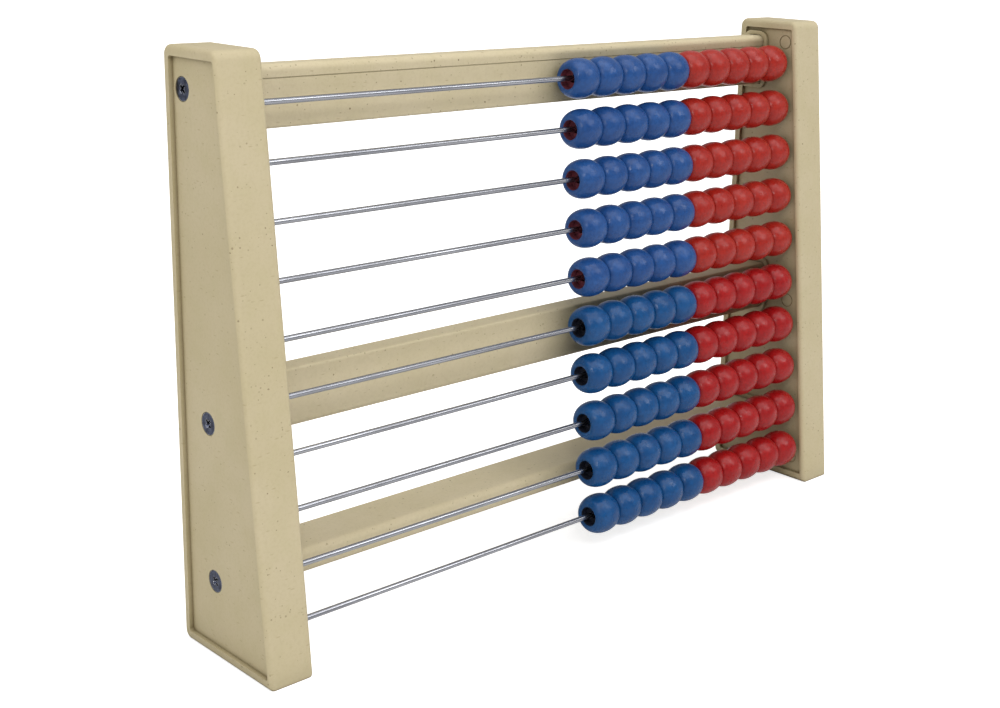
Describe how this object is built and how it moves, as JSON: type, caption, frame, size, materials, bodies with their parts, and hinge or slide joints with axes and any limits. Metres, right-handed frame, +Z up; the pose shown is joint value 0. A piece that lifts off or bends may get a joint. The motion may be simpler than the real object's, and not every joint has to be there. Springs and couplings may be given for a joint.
{
  "type": "abacus",
  "caption": "Classroom bead frame for counting: sloping end panels, cross rails and steel rods that carry sliding blue and red ball beads.",
  "frame": {"origin": "middle of the footprint, on the surface that the frame stands on", "axes": "+X along the rods towards the end where the beads rest (the right, seen from the front), -Y towards the leaning front, +Z up"},
  "size_m": [0.3234, 0.0555, 0.2155],
  "materials": {
    "panel_plastic": "satin, speckled",
    "rail_plastic": "satin, speckled",
    "rod_steel": "bright drawn",
    "screw_steel": "zinc plated",
    "blue_bead_upper": "satin",
    "blue_bead_lower": "satin",
    "red_bead_upper": "satin",
    "red_bead_lower": "satin"
  },
  "bodies": {
    "frame": {"end_panel_left": "panel_plastic", "end_panel_right": "panel_plastic", "top_rail": "rail_plastic", "middle_rail": "rail_plastic", "bottom_rail": "rail_plastic", "rail_screws_left": "screw_steel", "rail_screws_right": "screw_steel", "rod_01": "rod_steel", "rod_02": "rod_steel", "rod_03": "rod_steel", "rod_04": "rod_steel", "rod_05": "rod_steel", "rod_06": "rod_steel", "rod_07": "rod_steel", "rod_08": "rod_steel", "rod_09": "rod_steel", "rod_10": "rod_steel"},
    "row_01_red_b": {"beads_01_red_b": "red_bead_upper"},
    "row_01_red_a": {"beads_01_red_a": "red_bead_upper"},
    "row_01_blue_b": {"beads_01_blue_b": "blue_bead_upper"},
    "row_01_blue_a": {"beads_01_blue_a": "blue_bead_upper"},
    "row_02_red_b": {"beads_02_red_b": "red_bead_upper"},
    "row_02_red_a": {"beads_02_red_a": "red_bead_upper"},
    "row_02_blue_b": {"beads_02_blue_b": "blue_bead_upper"},
    "row_02_blue_a": {"beads_02_blue_a": "blue_bead_upper"},
    "row_03_red_b": {"beads_03_red_b": "red_bead_upper"},
    "row_03_red_a": {"beads_03_red_a": "red_bead_upper"},
    "row_03_blue_b": {"beads_03_blue_b": "blue_bead_upper"},
    "row_03_blue_a": {"beads_03_blue_a": "blue_bead_upper"},
    "row_04_red_b": {"beads_04_red_b": "red_bead_upper"},
    "row_04_red_a": {"beads_04_red_a": "red_bead_upper"},
    "row_04_blue_b": {"beads_04_blue_b": "blue_bead_upper"},
    "row_04_blue_a": {"beads_04_blue_a": "blue_bead_upper"},
    "row_05_red_b": {"beads_05_red_b": "red_bead_upper"},
    "row_05_red_a": {"beads_05_red_a": "red_bead_upper"},
    "row_05_blue_b": {"beads_05_blue_b": "blue_bead_upper"},
    "row_05_blue_a": {"beads_05_blue_a": "blue_bead_upper"},
    "row_06_red_b": {"beads_06_red_b": "red_bead_lower"},
    "row_06_red_a": {"beads_06_red_a": "red_bead_lower"},
    "row_06_blue_b": {"beads_06_blue_b": "blue_bead_lower"},
    "row_06_blue_a": {"beads_06_blue_a": "blue_bead_lower"},
    "row_07_red_b": {"beads_07_red_b": "red_bead_lower"},
    "row_07_red_a": {"beads_07_red_a": "red_bead_lower"},
    "row_07_blue_b": {"beads_07_blue_b": "blue_bead_lower"},
    "row_07_blue_a": {"beads_07_blue_a": "blue_bead_lower"},
    "row_08_red_b": {"beads_08_red_b": "red_bead_lower"},
    "row_08_red_a": {"beads_08_red_a": "red_bead_lower"},
    "row_08_blue_b": {"beads_08_blue_b": "blue_bead_lower"},
    "row_08_blue_a": {"beads_08_blue_a": "blue_bead_lower"},
    "row_09_red_b": {"beads_09_red_b": "red_bead_lower"},
    "row_09_red_a": {"beads_09_red_a": "red_bead_lower"},
    "row_09_blue_b": {"beads_09_blue_b": "blue_bead_lower"},
    "row_09_blue_a": {"beads_09_blue_a": "blue_bead_lower"},
    "row_10_red_b": {"beads_10_red_b": "red_bead_lower"},
    "row_10_red_a": {"beads_10_red_a": "red_bead_lower"},
    "row_10_blue_b": {"beads_10_blue_b": "blue_bead_lower"},
    "row_10_blue_a": {"beads_10_blue_a": "blue_bead_lower"}
  },
  "joints": [
    {"name": "slide_01_red_b", "type": "slide", "parent": "frame", "child": "row_01_red_b", "axis": [-1, 0, 0], "range_m": [0, 0.0375]},
    {"name": "slide_01_red_a", "type": "slide", "parent": "row_01_red_b", "child": "row_01_red_a", "axis": [-1, 0, 0], "range_m": [0, 0.0375]},
    {"name": "slide_01_blue_b", "type": "slide", "parent": "row_01_red_a", "child": "row_01_blue_b", "axis": [-1, 0, 0], "range_m": [0, 0.0375]},
    {"name": "slide_01_blue_a", "type": "slide", "parent": "row_01_blue_b", "child": "row_01_blue_a", "axis": [-1, 0, 0], "range_m": [0, 0.0375]},
    {"name": "slide_02_red_b", "type": "slide", "parent": "frame", "child": "row_02_red_b", "axis": [-1, 0, 0], "range_m": [0, 0.0375]},
    {"name": "slide_02_red_a", "type": "slide", "parent": "row_02_red_b", "child": "row_02_red_a", "axis": [-1, 0, 0], "range_m": [0, 0.0375]},
    {"name": "slide_02_blue_b", "type": "slide", "parent": "row_02_red_a", "child": "row_02_blue_b", "axis": [-1, 0, 0], "range_m": [0, 0.0375]},
    {"name": "slide_02_blue_a", "type": "slide", "parent": "row_02_blue_b", "child": "row_02_blue_a", "axis": [-1, 0, 0], "range_m": [0, 0.0375]},
    {"name": "slide_03_red_b", "type": "slide", "parent": "frame", "child": "row_03_red_b", "axis": [-1, 0, 0], "range_m": [0, 0.0375]},
    {"name": "slide_03_red_a", "type": "slide", "parent": "row_03_red_b", "child": "row_03_red_a", "axis": [-1, 0, 0], "range_m": [0, 0.0375]},
    {"name": "slide_03_blue_b", "type": "slide", "parent": "row_03_red_a", "child": "row_03_blue_b", "axis": [-1, 0, 0], "range_m": [0, 0.0375]},
    {"name": "slide_03_blue_a", "type": "slide", "parent": "row_03_blue_b", "child": "row_03_blue_a", "axis": [-1, 0, 0], "range_m": [0, 0.0375]},
    {"name": "slide_04_red_b", "type": "slide", "parent": "frame", "child": "row_04_red_b", "axis": [-1, 0, 0], "range_m": [0, 0.0375]},
    {"name": "slide_04_red_a", "type": "slide", "parent": "row_04_red_b", "child": "row_04_red_a", "axis": [-1, 0, 0], "range_m": [0, 0.0375]},
    {"name": "slide_04_blue_b", "type": "slide", "parent": "row_04_red_a", "child": "row_04_blue_b", "axis": [-1, 0, 0], "range_m": [0, 0.0375]},
    {"name": "slide_04_blue_a", "type": "slide", "parent": "row_04_blue_b", "child": "row_04_blue_a", "axis": [-1, 0, 0], "range_m": [0, 0.0375]},
    {"name": "slide_05_red_b", "type": "slide", "parent": "frame", "child": "row_05_red_b", "axis": [-1, 0, 0], "range_m": [0, 0.0375]},
    {"name": "slide_05_red_a", "type": "slide", "parent": "row_05_red_b", "child": "row_05_red_a", "axis": [-1, 0, 0], "range_m": [0, 0.0375]},
    {"name": "slide_05_blue_b", "type": "slide", "parent": "row_05_red_a", "child": "row_05_blue_b", "axis": [-1, 0, 0], "range_m": [0, 0.0375]},
    {"name": "slide_05_blue_a", "type": "slide", "parent": "row_05_blue_b", "child": "row_05_blue_a", "axis": [-1, 0, 0], "range_m": [0, 0.0375]},
    {"name": "slide_06_red_b", "type": "slide", "parent": "frame", "child": "row_06_red_b", "axis": [-1, 0, 0], "range_m": [0, 0.0371]},
    {"name": "slide_06_red_a", "type": "slide", "parent": "row_06_red_b", "child": "row_06_red_a", "axis": [-1, 0, 0], "range_m": [0, 0.0371]},
    {"name": "slide_06_blue_b", "type": "slide", "parent": "row_06_red_a", "child": "row_06_blue_b", "axis": [-1, 0, 0], "range_m": [0, 0.0371]},
    {"name": "slide_06_blue_a", "type": "slide", "parent": "row_06_blue_b", "child": "row_06_blue_a", "axis": [-1, 0, 0], "range_m": [0, 0.0371]},
    {"name": "slide_07_red_b", "type": "slide", "parent": "frame", "child": "row_07_red_b", "axis": [-1, 0, 0], "range_m": [0, 0.0371]},
    {"name": "slide_07_red_a", "type": "slide", "parent": "row_07_red_b", "child": "row_07_red_a", "axis": [-1, 0, 0], "range_m": [0, 0.0371]},
    {"name": "slide_07_blue_b", "type": "slide", "parent": "row_07_red_a", "child": "row_07_blue_b", "axis": [-1, 0, 0], "range_m": [0, 0.0371]},
    {"name": "slide_07_blue_a", "type": "slide", "parent": "row_07_blue_b", "child": "row_07_blue_a", "axis": [-1, 0, 0], "range_m": [0, 0.0371]},
    {"name": "slide_08_red_b", "type": "slide", "parent": "frame", "child": "row_08_red_b", "axis": [-1, 0, 0], "range_m": [0, 0.0371]},
    {"name": "slide_08_red_a", "type": "slide", "parent": "row_08_red_b", "child": "row_08_red_a", "axis": [-1, 0, 0], "range_m": [0, 0.0371]},
    {"name": "slide_08_blue_b", "type": "slide", "parent": "row_08_red_a", "child": "row_08_blue_b", "axis": [-1, 0, 0], "range_m": [0, 0.0371]},
    {"name": "slide_08_blue_a", "type": "slide", "parent": "row_08_blue_b", "child": "row_08_blue_a", "axis": [-1, 0, 0], "range_m": [0, 0.0371]},
    {"name": "slide_09_red_b", "type": "slide", "parent": "frame", "child": "row_09_red_b", "axis": [-1, 0, 0], "range_m": [0, 0.0371]},
    {"name": "slide_09_red_a", "type": "slide", "parent": "row_09_red_b", "child": "row_09_red_a", "axis": [-1, 0, 0], "range_m": [0, 0.0371]},
    {"name": "slide_09_blue_b", "type": "slide", "parent": "row_09_red_a", "child": "row_09_blue_b", "axis": [-1, 0, 0], "range_m": [0, 0.0371]},
    {"name": "slide_09_blue_a", "type": "slide", "parent": "row_09_blue_b", "child": "row_09_blue_a", "axis": [-1, 0, 0], "range_m": [0, 0.0371]},
    {"name": "slide_10_red_b", "type": "slide", "parent": "frame", "child": "row_10_red_b", "axis": [-1, 0, 0], "range_m": [0, 0.0371]},
    {"name": "slide_10_red_a", "type": "slide", "parent": "row_10_red_b", "child": "row_10_red_a", "axis": [-1, 0, 0], "range_m": [0, 0.0371]},
    {"name": "slide_10_blue_b", "type": "slide", "parent": "row_10_red_a", "child": "row_10_blue_b", "axis": [-1, 0, 0], "range_m": [0, 0.0371]},
    {"name": "slide_10_blue_a", "type": "slide", "parent": "row_10_blue_b", "child": "row_10_blue_a", "axis": [-1, 0, 0], "range_m": [0, 0.0371]}
  ]
}
